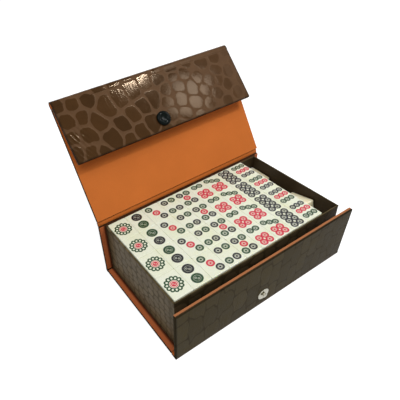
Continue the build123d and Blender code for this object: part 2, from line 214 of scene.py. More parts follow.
def soft_min(first, second, k):
    """The smaller of two lengths, rounded off over k: -k log(exp(-a/k) + exp(-b/k))."""
    return -k * np.log(np.exp(-first / k) + np.exp(-second / k))


def scale_fields(x, s):
    """How far each point is inside its scale, in mm, and the scale's own tone. A slow
    wave bends the outlines. A middle is (|dx|^p + |ds|^p)^(1/p) less its size away,
    with p from 2 on the right to 3 on the left, where the scales are squarer, and 6 on
    the front panel. The field is half of the second nearest (rounded off by the third)
    less the nearest, less half the groove, and is held within a round of the scale's
    own radius. On the far right and by the fold, where the plate pressed less, it ends
    early."""
    bent_x = x + 0.5 * np.sin(0.31 * s + 0.17 * x) + 0.2 * np.sin(0.9 * s - 0.6 * x)
    bent_s = s + 0.5 * np.sin(0.27 * x - 0.21 * s) + 0.2 * np.sin(0.8 * x + 0.7 * s)
    inside = np.empty(len(x))
    tone = np.empty(len(x))
    for first in range(0, len(x), BATCH):
        part = slice(first, first + BATCH)
        low, high = bent_s[part].min() - 30, bent_s[part].max() + 30
        near = np.flatnonzero((MIDDLES[:, 1] > low) & (MIDDLES[:, 1] < high))
        across = bent_x[part, None] - MIDDLES[None, near, 0]
        along = bent_s[part, None] - MIDDLES[None, near, 1]
        tall = np.interp(s[part, None], [FRONT_END - 3, FRONT_END + 3], [1, 0])
        power = np.maximum(np.interp(x[part, None], [-35, 5], [3.0, 2.0]), 6.0 * tall)
        away = (np.abs(across) ** power + np.abs((0.9 - 0.45 * tall) * along) ** power) ** (1 / power)
        away = away - MIDDLES[None, near, 2]
        order = np.argpartition(away, 2, axis=1)[:, :3]
        three = np.sort(np.take_along_axis(away, order, 1), axis=1)
        between = (soft_min(three[:, 1], three[:, 2], 1.8 - 1.3 * tall[:, 0]) - three[:, 0]) / 2
        radius = np.interp(x[part], [-30, 10, 50], [10.5, 6.4, 5.8]) + 6 * tall[:, 0]
        groove = np.interp(x[part], [-45, 5, 20], [0.45, 0.0, -0.15]) * (1 - tall[:, 0])
        groove = groove - 0.3 * tall[:, 0]
        below_fold = s[part] - FLAP_START
        shallow = np.where(below_fold > -15, np.interp(below_fold, [3, 13], [0.5, 9.0]), 9.0)
        shallow = np.where(x[part] > 8, shallow, 9.0)
        faint = np.minimum(np.interp(x[part], [45, 75], [9.0, 0.55]), shallow) + 9 * tall[:, 0]
        inside[part] = np.minimum(soft_min(between - groove, radius - three[:, 0], 0.7), faint)
        tone[part] = TONES[near[np.argmin(away, axis=1)]]
    return inside, tone


def step_up(value, low, high):
    """0 below low, 1 above high, and 3t^2-2t^3 between."""
    t = np.clip((value - low) / (high - low), 0, 1)
    return t * t * (3 - 2 * t)


def relief(x, s):
    """The depth below the skin's highest level, and the two fields. The grooves lie
    GROOVE_DEPTH deep, less on the right, by a smooth step of the field, and each scale
    is slightly crowned. Fine creases, 1/2 + 1/2 sin of a bent wave of x, run along the
    sheet in patches, and the flap's lower left corner is wrinkled the same way."""
    inside, tone = scale_fields(x, s)
    raised = step_up(inside, -0.6, 0.6)
    crown = CROWN * step_up(inside, 0.5, 4.5)
    crease = 0.5 + 0.5 * np.sin(2.7 * x + 1.5 * np.sin(0.23 * s) + 0.9 * np.sin(0.61 * x + 0.37 * s))
    patch = np.sin(0.083 * x + 1.1) * np.sin(0.071 * s + 0.4) + 0.4 * np.sin(0.19 * s - 0.13 * x)
    patch = np.interp(x, [-30, 0], CREASE_DEPTHS) * step_up(patch, 0.2, 0.9)
    wrinkle = 0.5 + 0.5 * np.sin(1.63 * x - 0.87 * s + 0.5 * np.sin(0.5 * s + 0.3 * x))
    corner = step_up(-x, 66.0, 78.0) * step_up(s - FLAP_START, 16.0, 30.0)
    depth = GROOVE_DEPTH * np.interp(x, [-25, 5], [1.0, 0.6]) * (1 - raised) + (CROWN - crown)
    depth = depth + crease * patch + WRINKLE_DEPTH * wrinkle * corner
    return depth, inside, tone


def mesh_piece(name, points, quads, caps=(), material=None, attributes=None):
    """Puts points (n by 3, in mm), four-cornered faces and any many-cornered caps into
    a new object at the origin, in metres. Attributes are one number or one colour for
    each point."""
    mesh = bpy.data.meshes.new(name)
    points = np.asarray(points, float)
    mesh.vertices.add(len(points))
    mesh.vertices.foreach_set("co", (points * 0.001).astype(np.float32).ravel())
    corners = np.concatenate([np.asarray(quads).ravel(), *[np.asarray(c) for c in caps]]).astype(np.int32)
    starts = np.arange(len(quads)) * 4
    cap_sizes = [len(c) for c in caps]
    cap_starts = len(quads) * 4 + np.concatenate([[0], np.cumsum(cap_sizes)[:-1]]) if caps else []
    starts = np.concatenate([starts, cap_starts]).astype(np.int32)
    mesh.loops.add(len(corners))
    mesh.loops.foreach_set("vertex_index", corners)
    mesh.polygons.add(len(starts))
    mesh.polygons.foreach_set("loop_start", starts)
    smooth = np.ones(len(starts), bool)
    smooth[len(quads) :] = False
    mesh.update(calc_edges=True)
    mesh.polygons.foreach_set("use_smooth", smooth)
    for key, values in (attributes or {}).items():
        values = np.asarray(values, np.float32)
        kind = "FLOAT" if values.ndim == 1 else "FLOAT_COLOR"
        field = "value" if values.ndim == 1 else "color"
        mesh.attributes.new(key, kind, "POINT").data.foreach_set(field, values.ravel())
    piece = bpy.data.objects.new(name, mesh)
    bpy.context.scene.collection.objects.link(piece)
    if material:
        mesh.materials.append(material)
    return piece


def plan_grid(x0, x1, y0, y1, step, corner):
    """A grid over a rectangle whose corners are rounded: near a corner the square patch
    (a, b) goes to the disc (a sqrt(1-b^2/2), b sqrt(1-a^2/2)). Gives x, y, the faces
    and the loop of border points, anticlockwise."""
    nx = max(2, round((x1 - x0) / step))
    ny = max(2, round((y1 - y0) / step))
    x, y = np.meshgrid(np.linspace(x0, x1, nx + 1), np.linspace(y0, y1, ny + 1))
    if corner > 0:
        mx, my = (x0 + x1) / 2, (y0 + y1) / 2
        a = np.clip((np.abs(x - mx) - ((x1 - x0) / 2 - corner)) / corner, 0, 1)
        b = np.clip((np.abs(y - my) - ((y1 - y0) / 2 - corner)) / corner, 0, 1)
        x = x - np.sign(x - mx) * corner * a * (1 - np.sqrt(1 - b * b / 2))
        y = y - np.sign(y - my) * corner * b * (1 - np.sqrt(1 - a * a / 2))
    index = np.arange((nx + 1) * (ny + 1)).reshape(ny + 1, nx + 1)
    quads = np.stack([index[:-1, :-1], index[:-1, 1:], index[1:, 1:], index[1:, :-1]], -1).reshape(-1, 4)
    loop = np.concatenate([index[0, :-1], index[:-1, -1], index[-1, :0:-1], index[:0:-1, 0]])
    return x.ravel(), y.ravel(), quads, loop


def outward(x, y, x0, x1, y0, y1, corner):
    """The way out of a rounded rectangle at its border points: away from the rectangle
    that lies corner inside it."""
    small = max(corner, 0.01)
    dx = x - np.clip(x, x0 + small, x1 - small)
    dy = y - np.clip(y, y0 + small, y1 - small)
    length = np.hypot(dx, dy)
    return dx / length, dy / length


def loop_faces(rows):
    """Faces between rows of points that each go once round, from the first row to the last."""
    upper = np.stack(rows[:-1])
    lower = np.stack(rows[1:])
    corners = (upper, lower, np.roll(lower, -1, 1), np.roll(upper, -1, 1))
    return np.stack(corners, -1).reshape(-1, 4)


def turned_over(faces):
    """The same four-cornered faces seen from behind, from the same first corner on."""
    return faces[:, [0, 3, 2, 1]]


def carried_round(x, y, quads, loop, nx, ny, profile):
    """A face whose border goes on in rows, each out by a number along (nx, ny) and down
    by another, for the whole row or for each point. Gives x, y, down, faces and the
    last row, turned so that a cap on it faces down as the first face faces up."""
    xs, ys, downs, rows = [x], [y], [np.zeros(len(x))], [loop]
    for turn, (out, down) in enumerate(profile):
        xs.append(x[loop] + nx * out)
        ys.append(y[loop] + ny * out)
        downs.append(np.broadcast_to(down, len(loop)))
        rows.append(len(x) + turn * len(loop) + np.arange(len(loop)))
    faces = np.concatenate([quads, loop_faces(rows)])
    return np.concatenate(xs), np.concatenate(ys), np.concatenate(downs), faces, rows[-1][::-1]


def pressed_sheet(u0, u1, step, corner, profile, ends):
    """A face with its border carried round a profile of (out, down), where out is from
    the face's own border. At a "flat" end the face runs level to the edge, and at a
    "short" end the wall is cut off below the skin. x is across, and u along the panel,
    seen from inside the case, so every face is turned round."""
    edge = max(out for out, down in profile)
    box = (-HALF_X + edge, HALF_X - edge, u0 + edge, u1 - edge)
    x, u, quads, loop = plan_grid(*box, step, corner - edge)
    nx, nu = outward(x[loop], u[loop], *box, corner - edge)
    kinds = [(nu < -0.9, ends[0]), (nu > 0.9, ends[1])]
    levelled = []
    for turn, (out, down) in enumerate(profile):
        level = np.full(len(loop), down)
        for here, kind in kinds:
            if kind == "flat" and down <= edge:
                level[here] = 0.0
            if kind == "short" and down > edge and turn < len(profile) - 1:
                level[here] = edge + (down - edge) * 0.06
        levelled.append((out, level))
    x, u, down, faces, last = carried_round(x, u, quads, loop, nx, nu, levelled)
    return x, u, down, turned_over(faces), last[::-1]


def on_panel(hinge, degrees, level):
    """The place of a board that turns about a hinge line. With a the board's angle, and
    d = down - level, where level is the hinge line's own depth:
    y = hinge y + u cos a - d sin a, and z = hinge z + u sin a + d cos a."""
    a = math.radians(degrees)

    def place(x, u, down):
        y = hinge[0] + u * math.cos(a) - (down - level) * math.sin(a)
        z = hinge[1] + u * math.sin(a) + (down - level) * math.cos(a)
        return np.stack([np.broadcast_to(x, y.shape), y, z], -1)

    return place


LID_HINGE = (49.0, 55.7)
FLAP_HINGE = (101.21855, 141.76624)
FRONT_HINGE = (-54.3, 1.0)
LID_TURN = 57.9
FLAP_TURN = -133.2
FRONT_TURN = -88.2
base_place = on_panel((0.0, 0.0), 0.0, 0.0)
back_place = on_panel((LID_HINGE[0], 0.0), 90.0, BOARD / 2)
lid_place = on_panel(LID_HINGE, LID_TURN, BOARD / 2)
flap_place = on_panel(FLAP_HINGE, FLAP_TURN, BOARD)
front_place = on_panel(FRONT_HINGE, FRONT_TURN, COVER)


def node_group(name, inputs, outputs):
    """An empty node group with those sockets, what comes into it and what goes out."""
    group = bpy.data.node_groups.new(name, "ShaderNodeTree")
    for way, sockets in (("INPUT", inputs), ("OUTPUT", outputs)):
        for label, kind in sockets.items():
            group.interface.new_socket(label, in_out=way, socket_type="NodeSocket" + kind)
    given, result = group.nodes.new("NodeGroupInput"), group.nodes.new("NodeGroupOutput")
    return group, given.outputs, result.inputs


def blend_colours(tree, factor, first, second):
    """A mix of two colours, or of two sockets that give them."""
    return node(tree, "Mix", {0: factor, 6: first, 7: second}, data_type="RGBA").outputs[2]


def ramp(tree, value, low, high, to_low=0.0, to_high=1.0, way="LINEAR"):
    """A value from low to high carried to a value from to_low to to_high."""
    ends = {"Value": value, "From Min": low, "From Max": high, "To Min": to_low, "To Max": to_high}
    return node(tree, "MapRange", ends, interpolation_type=way).outputs[0]


def math_node(tree, kind, first, second):
    """One calculation with two values."""
    return node(tree, "Math", {0: first, 1: second}, operation=kind).outputs[0]


def use_group(tree, group, values):
    """Places a node group, with its inputs linked or set."""
    return node(tree, "Group", values, node_tree=group).outputs


def linear(code):
    """A colour written as six hex digits, turned from display values to light:
    c/12.92 below 0.04045, else ((c+0.055)/1.055)^2.4."""
    shown = np.array([int(code[i : i + 2], 16) / 255.0 for i in (1, 3, 5)])
    light = np.where(shown < 0.04045, shown / 12.92, ((shown + 0.055) / 1.055) ** 2.4)
    return (*[float(c) for c in light], 1.0)


def new_finish(name):
    """A new material: itself, its tree and its shader's inputs."""
    made = bpy.data.materials.new(name)
    made.use_nodes = True
    return made, made.node_tree, made.node_tree.nodes["Principled BSDF"].inputs


def surface(tree, shader, colour, rough, height, bump, rise):
    """Links a shader to its colour, its roughness and a bump that is rise metres high."""
    tree.links.new(colour, shader["Base Color"])
    tree.links.new(rough, shader["Roughness"])
    bumps = node(tree, "Bump", {"Strength": bump, "Distance": rise, "Height": height})
    tree.links.new(bumps.outputs[0], shader["Normal"])


def scaled(tree, colour, level):
    """A colour times a number."""
    return node(tree, "VectorMath", {0: colour, "Scale": level}, operation="SCALE").outputs[0]


def noise(tree, place, size, detail, distortion=0.0):
    """A noise from 0 to 1, with that many swings to the metre."""
    values = {"Vector": place, "Scale": size, "Detail": detail, "Distortion": distortion}
    return node(tree, "TexNoise", values).outputs[0]


# The group takes the scales' fields. Scales and grooves have their own colours and polish, and the sheet
# darkens where its Border field is low: at its border, and where the tray's paper has painted shade.
# Hair-fine wrinkles run along it.
emboss, given, result = node_group(
    "pressed_scales",
    {
        "Inside": "Float",
        "Tone": "Float",
        "Border": "Float",
        "Scale Colour": "Color",
        "Groove Colour": "Color",
        "Polish": "Float",
    },
    {"Colour": "Color", "Roughness": "Float", "Height": "Float"},
)
place = node(emboss, "TexCoord").outputs["Object"]
across = node(emboss, "SeparateXYZ", {0: place}).outputs["X"]
raised = ramp(emboss, given["Inside"], 0.25, 0.8, way="SMOOTHSTEP")
stained = math_node(emboss, "MULTIPLY", raised, ramp(emboss, across, 0.03, 0.055, 1.0, 0.5))
fine = noise(emboss, place, 2600.0, 3.0)
cloud = noise(emboss, place, 110.0, 3.0)
long_way = node(emboss, "Mapping", {"Vector": place, "Scale": (800.0, 70.0, 70.0)}).outputs[0]
crinkle = noise(emboss, long_way, 1.0, 2.0, 1.2)
toned = scaled(emboss, given["Scale Colour"], ramp(emboss, given["Tone"], 0.0, 1.0, 0.86, 1.16))
mixed = blend_colours(emboss, stained, given["Groove Colour"], toned)
by_border = ramp(emboss, given["Border"], 0.3, 1.9, 0.4, 1.0, "SMOOTHSTEP")
shade = math_node(emboss, "MULTIPLY", ramp(emboss, cloud, 0.3, 0.7, 0.92, 1.08), by_border)
emboss.links.new(scaled(emboss, mixed, shade), result["Colour"])
polish = math_node(emboss, "MULTIPLY", given["Polish"], ramp(emboss, cloud, 0.3, 0.7, 0.8, 1.2))
rough = node(emboss, "Mix", {"Factor": raised, "A": 0.45, "B": polish}).outputs[0]
dull_edge = ramp(emboss, given["Border"], 0.1, 1.2, 0.7, 0.0)
emboss.links.new(math_node(emboss, "MAXIMUM", rough, dull_edge), result["Roughness"])
crinkle = math_node(emboss, "ABSOLUTE", math_node(emboss, "SUBTRACT", crinkle, 0.5), 0.0)
crinkle = math_node(emboss, "MULTIPLY", crinkle, ramp(emboss, across, -0.02, 0.004, -2.6, -1.0))
grit = math_node(emboss, "MULTIPLY", fine, 0.35)
emboss.links.new(math_node(emboss, "ADD", crinkle, grit), result["Height"])


def crocodile(name, scale_colour, groove_colour, polish, bump, shine):
    """A skin whose scales and grooves come from the piece's own attributes."""
    made, tree, shader = new_finish(name)
    values = {"Scale Colour": linear(scale_colour), "Groove Colour": linear(groove_colour), "Polish": polish}
    for key in ("Inside", "Tone", "Border"):
        values[key] = node(tree, "Attribute", attribute_name=key.lower()).outputs["Fac"]
    given = use_group(tree, emboss, values)
    surface(tree, shader, given["Colour"], given["Roughness"], given["Height"], bump, 0.0002)
    shader["Specular IOR Level"].default_value = shine
    shader["Specular Tint"].default_value = (1.0, 0.74, 0.5, 1.0)
    return made


front_croc = crocodile("front_crocodile", "#423923", "#342b19", 0.35, 0.4, 0.02)
skin = crocodile("crocodile_skin", "#3f2914", "#523a26", 0.09, 0.08, 0.09)
# Out and down round the sheet's edge: over the board's border, in by the lining, and
# up to the sheet's flat back.
SKIN_EDGE = [
    (0.19, 0.04), (0.35, 0.15), (0.46, 0.31), (0.5, 0.5),
    (0.5, 1.5), (0.5, 2.45), (0.35, 2.6), (-0.1, 2.6), (-0.1, COVER),
]


def skin_piece(name, place, u0, u1, s0, body, ends, gone, material=skin):
    """The skin of one board, from u0 to u1 along it and from s0 on the sheet: its face
    is pressed with the scales, and its edge goes over the board's border, down to the
    lining and back in, closed by its own flat back."""
    x, u, down, faces, last = pressed_sheet(u0, u1, SKIN_STEP, SHEET_CORNER, SKIN_EDGE, ends)
    depth, inside, tone = relief(x, s0 + (u - u0))
    down = down + depth * np.clip(1 - down / 0.5, 0, 1)
    reach = [HALF_X - np.abs(x)]
    reach += [np.abs(u - end) for end, kind in zip((u0, u1), ends) if kind != "flat"]
    border = np.where(down > 0.9, 0.0, np.min(reach, axis=0))
    fields = {"inside": inside, "tone": tone, "border": border}
    piece = mesh_piece(name, place(x, u, down), faces, [last], material, fields)
    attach(piece, body)
    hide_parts(gone)


# Where the boards' sheets start and end along their panels.
FRONT_TOP = -51.1
FRONT_FOOT = -1.0
BASE_FRONT = -49.0
BASE_BACK = 47.0
BACK_FOOT = 3.5
BACK_END = 53.5
LID_FOOT = 2.2
LID_END = 98.157
FLAP_FOOT = 2.5
FLAP_END = 50.8
FLAT = ("flat", "flat")
SHORT = ("short", "flat")
front = (front_place, FRONT_TOP, FRONT_FOOT, 0.0, "front_panel")
skin_piece("front_skin", *front, SHORT, "front_cover", front_croc)
skin_piece("base_skin", base_place, BASE_FRONT, BASE_BACK, 56.5, "case_base", FLAT, "base_cover")
skin_piece("back_skin", back_place, BACK_FOOT, BACK_END, 157.2, "case_base", FLAT, "back_cover")
skin_piece("lid_skin", lid_place, LID_FOOT, LID_END, 212.0, "lid", FLAT, "lid_cover")
flap_from = FLAP_START + FLAP_FOOT
free_end = ("flat", "free")
skin_piece("flap_skin", flap_place, FLAP_FOOT, FLAP_END, flap_from, "flap", free_end, "flap_cover")

# The bends of the skin between the boards: round the fold of the flap, at the foot of
# the lid, round the back corner and under the front board. Nothing stiffens them.


def arc(centre, radius, start, end, count):
    """Points on a circle from start to end, in degrees: centre plus radius times (cos, sin)."""
    t = np.radians(np.linspace(start, end, count))
    return np.stack([centre[0] + radius * np.cos(t), centre[1] + radius * np.sin(t)], 1)


def rounded(points, times=4):
    """Cuts the corners of a line, that many times: each run keeps the points at 1/4 and
    3/4 of it, and the line its two ends."""
    line = np.asarray(points, float)
    for _ in range(times):
        near = 0.75 * line[:-1] + 0.25 * line[1:]
        far = 0.25 * line[:-1] + 0.75 * line[1:]
        inner = np.stack([near, far], 1).reshape(-1, 2)
        line = np.concatenate([line[:1], inner, line[-1:]])
    return line


def evened(line, step):
    """The same line with points step apart along it."""
    run = np.concatenate([[0], np.cumsum(np.hypot(*np.diff(line, axis=0).T))])
    at = np.linspace(0, run[-1], max(3, round(run[-1] / step) + 1))
    return np.stack([np.interp(at, run, line[:, 0]), np.interp(at, run, line[:, 1])], 1), at


def bent_strip(name, line, thick, s0, step=0.35, x_half=HALF_X, material=skin, pressed=True):
    """A strip along the case: a line in y and z is carried along x, its other side lies
    thick to the line's left, which is (-dz, dy) for a step (dy, dz), and both ends are
    closed. The near side is pressed with the scales, from s0 on the sheet."""
    line, run = evened(line, step)
    way = np.gradient(line, axis=0)
    way /= np.hypot(way[:, 0], way[:, 1])[:, None]
    left = np.stack([-way[:, 1], way[:, 0]], 1)
    ring = np.concatenate([np.arange(len(line)), np.arange(len(line))[::-1]])
    far = np.repeat([0.0, thick], len(line))
    stations = np.linspace(-x_half, x_half, round(2 * x_half / SKIN_STEP) + 1 if pressed else 41)
    x = np.repeat(stations[:, None], len(ring), 1)
    depth, inside, tone = relief(x.ravel(), s0 + np.tile(run[ring], len(stations)))
    depth = depth.reshape(x.shape) * (far == 0) if pressed else np.zeros(x.shape)
    off = np.sign(thick) * depth + far
    y = line[ring, 0] + left[ring, 0] * off
    z = line[ring, 1] + left[ring, 1] * off
    index = np.arange(x.size).reshape(x.shape)
    faces = loop_faces(list(index))[:, ::-1]
    caps = [index[0][::-1], index[-1]]
    if thick < 0:
        faces, caps = faces[:, ::-1], [c[::-1] for c in caps]
    points = np.stack([x, y, z], -1).reshape(-1, 3)
    border = x_half - np.abs(x.ravel())
    fields = {"inside": inside, "tone": tone, "border": border} if pressed else {}
    piece = mesh_piece(name, points, faces, caps, material, fields)
    return piece


def unit(degrees):
    """The direction in y and z at that angle above +y."""
    return np.array([math.cos(math.radians(degrees)), math.sin(math.radians(degrees))])


def bend_between(piece):
    """Moves the piece's place into its points and leaves it at the origin, in no body."""
    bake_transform(piece)


def fold_line(depth):
    """Round the fold of the flap, at that depth below the skin: up the lid, round the
    hinge line on a circle, and down the flap."""
    lid_out, flap_out = LID_TURN - 90, FLAP_TURN + 270
    start = lid_place(np.zeros(1), np.array([LID_END]), depth)[0, 1:]
    end = flap_place(np.zeros(1), np.array([FLAP_FOOT]), depth)[0, 1:]
    return np.concatenate([[start], arc(FLAP_HINGE, BOARD - depth, lid_out, flap_out, 60), [end]])


fold_skin = bent_strip("fold_skin", fold_line(0.0), COVER, 308.0)
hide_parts("flap_hinge_strip")
bend_between(fold_skin)


def foot_line(off):
    """Along the foot of the lid, off outside the hinge line: up the back board's side,
    round the blunt corner, which is off / cos(half the turn) away, and up the lid."""
    half_turn = (90 - LID_TURN) / 2
    back = np.array([LID_HINGE[0] + off, BACK_END])
    corner = np.array(LID_HINGE) + off / math.cos(math.radians(half_turn)) * unit(-half_turn)
    lid = np.array(LID_HINGE) + LID_FOOT * unit(LID_TURN) + off * unit(LID_TURN - 90)
    return rounded([back, corner, lid])


foot_skin = bent_strip("lid_foot_skin", foot_line(BOARD / 2), COVER, 207.3, 0.2)
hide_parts("lid_hinge_strip")
bend_between(foot_skin)

corner_arc = arc((LID_HINGE[0], BOARD / 2), BOARD / 2, -90, 0, 16)
corner_end = (LID_HINGE[0] + BOARD / 2, BACK_FOOT)
corner_line = np.concatenate([[(BASE_BACK, 0.0)], corner_arc, [corner_end]])
corner_skin = bent_strip("back_corner_skin", corner_line, 1.0, 152.6)
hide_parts("corner_strip")
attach(corner_skin, "case_base")

toe = front_place(np.zeros(1), np.array([FRONT_FOOT]), 0.0)[0, 1:]
toe_line = np.concatenate([[toe], arc((-53.9, 1.02), 1.02, 180, 270, 14), [(BASE_FRONT, 0.0)]])
toe_skin = bent_strip("front_foot_skin", toe_line, COVER, 50.1)
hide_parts("front_strip", "front_hinge_strip")
bend_between(toe_skin)

# The lining: orange paper-backed leatherette, glued inside every board, over the front
# board's top edge and down into the creases between the boards.
LINING = 0.45
LINING_HALF = 87.2
ORANGE = "#bd672b"
KID = (1500.0, 0.05, 0.25, 0.08)

grain, given, result = node_group(
    "kid_grain",
    {"Colour": "Color", "Size": "Float", "Variation": "Float"},
    {"Colour": "Color", "Height": "Float", "Roughness": "Float"},
)
place = node(grain, "TexCoord").outputs["Object"]
pores = node(grain, "TexVoronoi", {"Vector": place, "Scale": given["Size"]}, feature="DISTANCE_TO_EDGE")
fibre = noise(grain, place, 900.0, 4.0)
cloud = noise(grain, place, 34.0, 3.0)
drift = math_node(grain, "MULTIPLY", cloud, 0.7)
drift = math_node(grain, "ADD", drift, math_node(grain, "MULTIPLY", fibre, 0.3))
low = math_node(grain, "SUBTRACT", 1.0, given["Variation"])
high = math_node(grain, "ADD", 1.0, given["Variation"])
faded = scaled(grain, given["Colour"], ramp(grain, drift, 0.35, 0.65, low, high))
grain.links.new(faded, result["Colour"])
grain.links.new(ramp(grain, fibre, 0.3, 0.7, 0.5, 0.62), result["Roughness"])
pitted = ramp(grain, pores.outputs["Distance"], 0.0, 0.25)
grit = math_node(grain, "MULTIPLY", fibre, 0.5)
grain.links.new(math_node(grain, "ADD", pitted, grit), result["Height"])


def grained(name, colour, size, variation, bump, shine=0.3):
    """A finish with the kid grain: fine pores, fibres and a slow drift of its colour."""
    made, tree, shader = new_finish(name)
    given = use_group(tree, grain, {"Colour": linear(colour), "Size": size, "Variation": variation})
    surface(tree, shader, given["Colour"], given["Roughness"], given["Height"], bump, 0.0001)
    shader["Specular IOR Level"].default_value = shine
    return made


def finish_nodes(material, *names):
    """Gives CAD nodes that keep their shape a finish."""
    for name in names:
        nodes[name].data.materials.clear()
        nodes[name].data.materials.append(material)


def over_colour(finish):
    """A finish's tree, the socket of its colour, the colour that it has, and its place."""
    tree = finish.node_tree
    socket = tree.nodes["Principled BSDF"].inputs["Base Color"]
    place = node(tree, "SeparateXYZ", {0: node(tree, "TexCoord").outputs["Object"]}).outputs
    return tree, socket, socket.links[0].from_socket, place


orange = grained("orange_lining", ORANGE, *KID)
finish_nodes(orange, "lid_lining", "flap_lining")

# This lining is painted a little darker and redder than the lid's, as shade, and under the tray and up to
# its foot it is painted dark as the tray's shadow.
shaded_lining = grained("orange_lining_painted_shade", "#b66338", *KID)
tree, socket, kid, place = over_colour(shaded_lining)
from_middle = math_node(tree, "ABSOLUTE", place["X"], 0.0)
# Painted shadow of the tray: dark up to just past its foot, fading out over 2 mm.
tray_shadow = ramp(tree, from_middle, 0.0826, 0.0846, 1.0, 0.0, "SMOOTHSTEP")
tree.links.new(blend_colours(tree, tray_shadow, kid, linear("#4a2412")), socket)
finish_nodes(shaded_lining, "base_lining", "back_lining")

# The front board's top edge is worn paler, with a dark line where the skin begins.
lip = grained("orange_lining_edge", ORANGE, *KID)
tree, socket, kid, place = over_colour(lip)
on_edge = ramp(tree, place["Z"], 0.0509, 0.0514)
outermost = ramp(tree, place["Y"], -0.0553, -0.0551, 1.0, 0.0)
worn = blend_colours(tree, on_edge, kid, linear("#a0653f"))
outline = math_node(tree, "MULTIPLY", outermost, on_edge)
tree.links.new(blend_colours(tree, outline, worn, linear("#3a2a1a")), socket)
finish_nodes(lip, "front_lining")


def lining_strip(name, line, thick, step=0.35):
    """A bent strip of the lining, a little shorter than the skin and not pressed."""
    return bent_strip(name, line, thick, 0.0, step, LINING_HALF, orange, False)


fold_lining = lining_strip("fold_lining", fold_line(0.65), LINING)
bend_between(fold_lining)
foot_lining = lining_strip("lid_foot_lining", foot_line(0.85), LINING, 0.2)
bend_between(foot_lining)
toe_inner = [(-49.1, 2.8), (-49.12, 1.2), (-49.8, 1.0), (-51.2, 1.0), (-51.85, 1.15), (-51.95, 2.3)]
toe_lining = lining_strip("front_foot_lining", rounded(toe_inner, 3), -0.35, 0.3)
bend_between(toe_lining)

# Greyboard: the boards' cores and the tray's card, cut from grey pasteboard. They show
# at no edge, because skin, lining and paper are turned in over them.
grey = grained("greyboard", "#8f877b", 700.0, 0.12, 0.5)
finish_nodes(grey, "base_board", "back_board", "lid_board", "flap_board", "front_board")
finish_nodes(grey, "tray_front_wall", "tray_back_wall", "tray_left_wall", "tray_right_wall", "tray_floor")

# The press stud: a black lacquered cap with a dished middle on the flap, a nickelled
# ball stud with its rim on the front board, and the socket and eyelet behind them.
SNAP_X = -4.2
CAP_U = 41.0
STUD_U = -12.235


def turned_piece(name, place, u, profile, material, body, gone, sides=64):
    """A profile of (radius r, down) turned about the snap's middle, with both ends
    closed: x = middle + r cos t and u = middle + r sin t."""
    t = np.arange(sides) * 2 * math.pi / sides
    radius, down = np.array(profile, float).T
    x = SNAP_X + radius[:, None] * np.cos(t)
    along = u + radius[:, None] * np.sin(t)
    points = place(x.ravel(), along.ravel(), np.repeat(down, sides))
    index = np.arange(len(points)).reshape(len(profile), sides)
    faces = turned_over(loop_faces(list(index)))
    piece = mesh_piece(name, points, faces, [index[0][::-1], index[-1]], material)
    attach(piece, body)
    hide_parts(gone)


def polished(name, colour, metal, rough, scratch, shine):
    """Lacquer or plated metal: rubbed evenly, with cloudy wear and hair-fine scratches."""
    made, tree, shader = new_finish(name)
    place = node(tree, "TexCoord").outputs["Object"]
    cloud = noise(tree, place, 420.0, 4.0)
    long_way = node(tree, "Mapping", {"Vector": place, "Scale": (400.0, 5200.0, 900.0)}).outputs[0]
    lines = noise(tree, long_way, 1.0, 3.0)
    bright = tuple(min(1.0, c * 1.25) for c in linear(colour))
    worn = blend_colours(tree, ramp(tree, cloud, 0.4, 0.7), linear(colour), bright)
    rubbed = ramp(tree, cloud, 0.3, 0.7, rough * 0.8, rough * 1.5)
    surface(tree, shader, worn, rubbed, lines, scratch, 0.00005)
    shader["Metallic"].default_value = metal
    shader["Specular IOR Level"].default_value = shine
    return made


lacquer = polished("black_lacquer", "#060d0b", 0.0, 0.08, 0.1, 0.06)
nickel = polished("nickel", "#a3a093", 1.0, 0.2, 0.15, 0.5)
steel = polished("spring_steel", "#8f8e8a", 1.0, 0.3, 0.3, 0.5)
CAP = [
    (0.4, -1.62), (1.6, -1.64), (2.7, -1.7), (3.2, -1.84), (3.5, -2.08), (3.9, -2.26),
    (4.4, -2.3), (4.9, -2.24), (5.4, -2.06), (5.85, -1.76), (6.15, -1.36), (6.29, -0.95),
    (6.29, -0.5), (6.12, -0.16), (5.8, -0.02), (1.5, 0.0), (0.4, 0.0),
]
turned_piece("snap_button", flap_place, CAP_U, CAP, lacquer, "flap", "snap_cap")
STUD = [
    (0.3, -2.5), (0.9, -2.49), (1.4, -2.42), (1.8, -2.3), (2.03, -2.14), (2.08, -1.98),
    (1.98, -1.86), (1.72, -1.76), (1.52, -1.65), (1.5, -1.25), (1.56, -1.06), (1.9, -0.86),
    (2.5, -0.64), (3.1, -0.52), (4.3, -0.5), (4.9, -0.5), (5.22, -0.43), (5.38, -0.26),
    (5.38, -0.1), (5.3, 0.0), (1.5, 0.02), (1.5, 3.5), (2.15, 3.52), (2.2, 3.6),
    (2.1, 3.7), (0.4, 3.7),
]
turned_piece("snap_ball_stud", front_place, STUD_U, STUD, nickel, "front_panel", "snap_stud")
finish_nodes(nickel, "snap_socket", "stud_eyelet")
finish_nodes(steel, "socket_spring")

# The tray: card walls wrapped outside and over the rim in dark crocodile paper, and
# lined with dark brown paper. It is glued to the base and to the back board.
TRAY_X = 82.0
TRAY_Y = 47.5
TRAY_WALL = 1.3
TRAY_FOOT = 3.0
TRAY_RIM = 52.8
TRAY_CORNER = 0.5
WRAP = 0.25
WRAP_ROWS = 76
WRAP_STEP = 0.7
# The run round the tray at which each wall starts and ends, and the x and s of its
# paper on the sheet, with s going up the wall.
WALL_RUNS = [0, 95, 95, 258, 258, 352, 352, 520]
PAPER_X = [-92, -7, -75, 75, -40, 82, -75, 75]
PAPER_S = 232.0
PAPER_SCALE = 1.45
PAPER_PRESSED = 0.9
croc_paper = crocodile("crocodile_paper", "#62553d", "#4c412c", 0.35, 0.4, 0.03)


